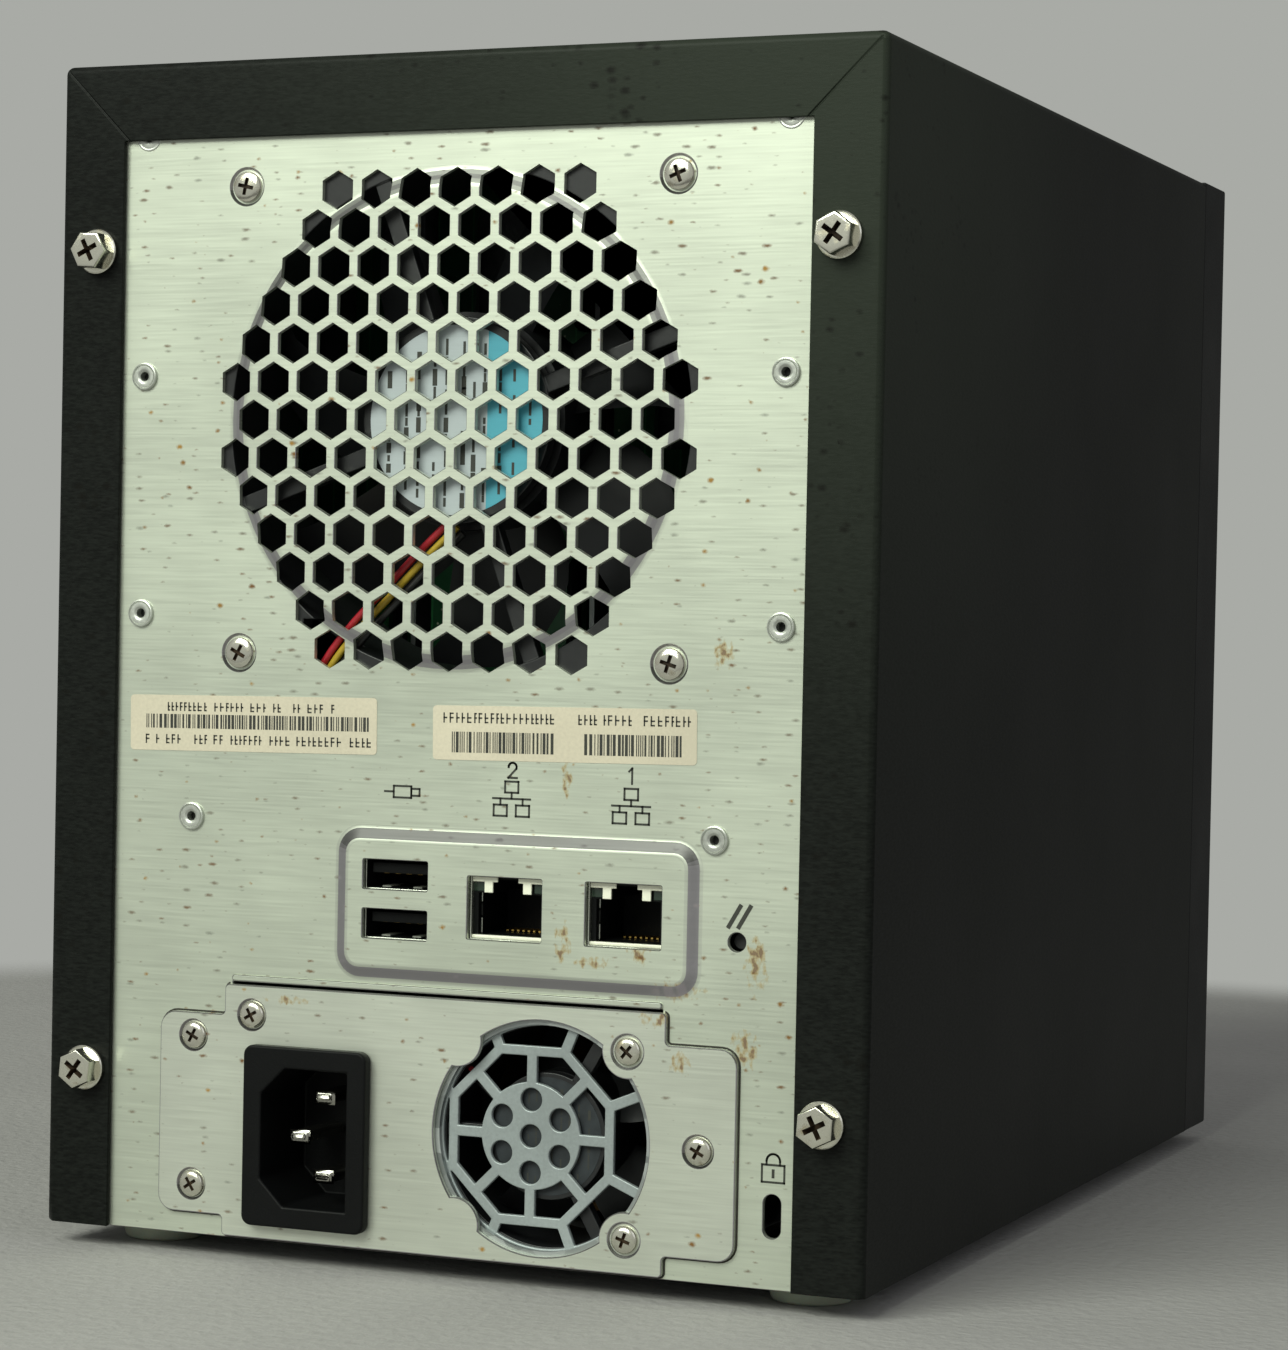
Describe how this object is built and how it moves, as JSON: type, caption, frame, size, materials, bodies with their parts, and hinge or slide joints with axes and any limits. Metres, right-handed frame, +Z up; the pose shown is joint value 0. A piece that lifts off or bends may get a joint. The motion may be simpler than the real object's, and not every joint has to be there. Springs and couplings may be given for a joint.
{
  "type": "network attached storage",
  "caption": "Upright storage box with a black wrap-round cover, plated rear panel with fan grille, network, USB and mains sockets, and pull-out drive trays with levers at the front.",
  "frame": {"origin": "on the surface that the box stands on, under the middle of its bounding box", "axes": "+Z up, -Y towards the front with the trays, +Y towards the rear with the sockets, +X to the right seen from the front"},
  "size_m": [0.157, 0.242, 0.213],
  "materials": {
    "black_paint": "semi-gloss black powder coat on folded sheet steel",
    "plated_steel": "pale plated sheet steel with fine rolling lines and rust specks",
    "inner_steel": "plain galvanised sheet steel",
    "screw_steel": "nickel plated steel, slightly yellowed",
    "rivet_steel": "bright plated steel",
    "foot_rubber": "pale translucent rubber",
    "bezel_plastic": "fine textured black moulded plastic",
    "tray_plastic": "fine textured dark moulded plastic",
    "lever_plastic": "dark grey moulded plastic",
    "button_plastic": "satin grey moulded plastic",
    "guide_plastic": "black moulded plastic",
    "fan_plastic": "black moulded plastic",
    "board_green": "green solder mask over glass fibre board",
    "chip_black": "black moulded epoxy",
    "connector_black": "black moulded plastic",
    "shield_metal": "bright nickel plated shells",
    "pin_metal": "nickel plated brass",
    "standoff_brass": "turned brass",
    "heatsink_aluminium": "extruded aluminium",
    "drive_casting": "cast and milled aluminium",
    "supply_steel": "galvanised sheet steel",
    "guard_steel": "pale grey pressed steel",
    "light_clear": "clear moulded plastic",
    "wire_insulation": "red, yellow and black insulated wires",
    "spring_steel": "bright spring wire"
  },
  "bodies": {
    "chassis": {"base_pan": "inner_steel", "side_plate_left": "inner_steel", "side_plate_right": "inner_steel", "rear_panel": "plated_steel", "rear_rivets": "rivet_steel", "feet": "foot_rubber", "front_frame": "inner_steel", "front_bezel": "bezel_plastic", "drive_cage": "inner_steel", "cage_guides": "guide_plastic", "backplane": "board_green", "backplane_connectors": "connector_black", "board_tray": "inner_steel", "main_board": "board_green", "board_standoffs": "standoff_brass", "board_screws": "screw_steel", "board_parts": "chip_black", "processor_heatsink": "heatsink_aluminium", "memory_module": "board_green", "lan_jacks": "shield_metal", "usb_ports": "shield_metal", "reset_switch": "connector_black", "fan_frame": "fan_plastic", "fan_screws": "screw_steel", "fan_wires": "wire_insulation", "psu_case": "supply_steel", "psu_lid": "supply_steel", "psu_plate": "plated_steel", "psu_screws": "screw_steel", "psu_fan_frame": "fan_plastic", "psu_fan_guard": "guard_steel", "psu_electronics": "chip_black", "inlet_housing": "connector_black", "inlet_pins": "pin_metal", "front_board": "board_green", "front_usb_port": "shield_metal", "light_pipes": "light_clear", "power_button_spring": "spring_steel"},
    "cover": {"top_cover": "black_paint", "cover_screws": "screw_steel"},
    "rear_fan_rotor": {"fan_rotor": "fan_plastic"},
    "supply_fan_rotor": {"psu_fan_rotor": "fan_plastic"},
    "reset_pin": {"reset_button": "connector_black"},
    "power_key": {"power_button": "button_plastic"},
    "tray_1": {"tray_frame_1": "tray_plastic", "tray_screws_1": "screw_steel", "drive_1": "drive_casting"},
    "lever_1": {"tray_lever_1": "lever_plastic"},
    "tray_2": {"tray_frame_2": "tray_plastic", "tray_screws_2": "screw_steel", "drive_2": "drive_casting"},
    "lever_2": {"tray_lever_2": "lever_plastic"},
    "tray_3": {"tray_frame_3": "tray_plastic", "tray_screws_3": "screw_steel", "drive_3": "drive_casting"},
    "lever_3": {"tray_lever_3": "lever_plastic"},
    "tray_4": {"tray_frame_4": "tray_plastic", "tray_screws_4": "screw_steel", "drive_4": "drive_casting"},
    "lever_4": {"tray_lever_4": "lever_plastic"}
  },
  "joints": [
    {"name": "cover_slide", "type": "slide", "parent": "chassis", "child": "cover", "axis": [0, 1, 0], "range_m": [0, 0.21]},
    {"name": "rear_fan_spin", "type": "hinge", "parent": "chassis", "child": "rear_fan_rotor", "pos_m": [0, 0.1027, 0.1493], "axis": [0, 1, 0], "continuous": true},
    {"name": "supply_fan_spin", "type": "hinge", "parent": "chassis", "child": "supply_fan_rotor", "pos_m": [-0.0194, 0.1027, 0.02625], "axis": [0, 1, 0], "continuous": true},
    {"name": "reset_press", "type": "slide", "parent": "chassis", "child": "reset_pin", "axis": [0, -1, 0], "range_m": [0, 0.0005], "stiffness_N_per_m": 900, "springref_m": -0.0003},
    {"name": "power_press", "type": "slide", "parent": "chassis", "child": "power_key", "axis": [0, 1, 0], "range_m": [0, 0.0016], "stiffness_N_per_m": 500, "springref_m": -0.0006, "deforming": ["power_button_spring"]},
    {"name": "tray_1_slide", "type": "slide", "parent": "chassis", "child": "tray_1", "axis": [0, -1, 0], "range_m": [0, 0.165]},
    {"name": "lever_1_hinge", "type": "hinge", "parent": "tray_1", "child": "lever_1", "pos_m": [-0.05625, -0.1155, 0.1945], "axis": [-1, 0, 0], "range_deg": [0, 65]},
    {"name": "tray_2_slide", "type": "slide", "parent": "chassis", "child": "tray_2", "axis": [0, -1, 0], "range_m": [0, 0.165]},
    {"name": "lever_2_hinge", "type": "hinge", "parent": "tray_2", "child": "lever_2", "pos_m": [-0.01875, -0.1155, 0.1945], "axis": [-1, 0, 0], "range_deg": [0, 65]},
    {"name": "tray_3_slide", "type": "slide", "parent": "chassis", "child": "tray_3", "axis": [0, -1, 0], "range_m": [0, 0.165]},
    {"name": "lever_3_hinge", "type": "hinge", "parent": "tray_3", "child": "lever_3", "pos_m": [0.01875, -0.1155, 0.1945], "axis": [-1, 0, 0], "range_deg": [0, 65]},
    {"name": "tray_4_slide", "type": "slide", "parent": "chassis", "child": "tray_4", "axis": [0, -1, 0], "range_m": [0, 0.165]},
    {"name": "lever_4_hinge", "type": "hinge", "parent": "tray_4", "child": "lever_4", "pos_m": [0.05625, -0.1155, 0.1945], "axis": [-1, 0, 0], "range_deg": [0, 65]}
  ]
}
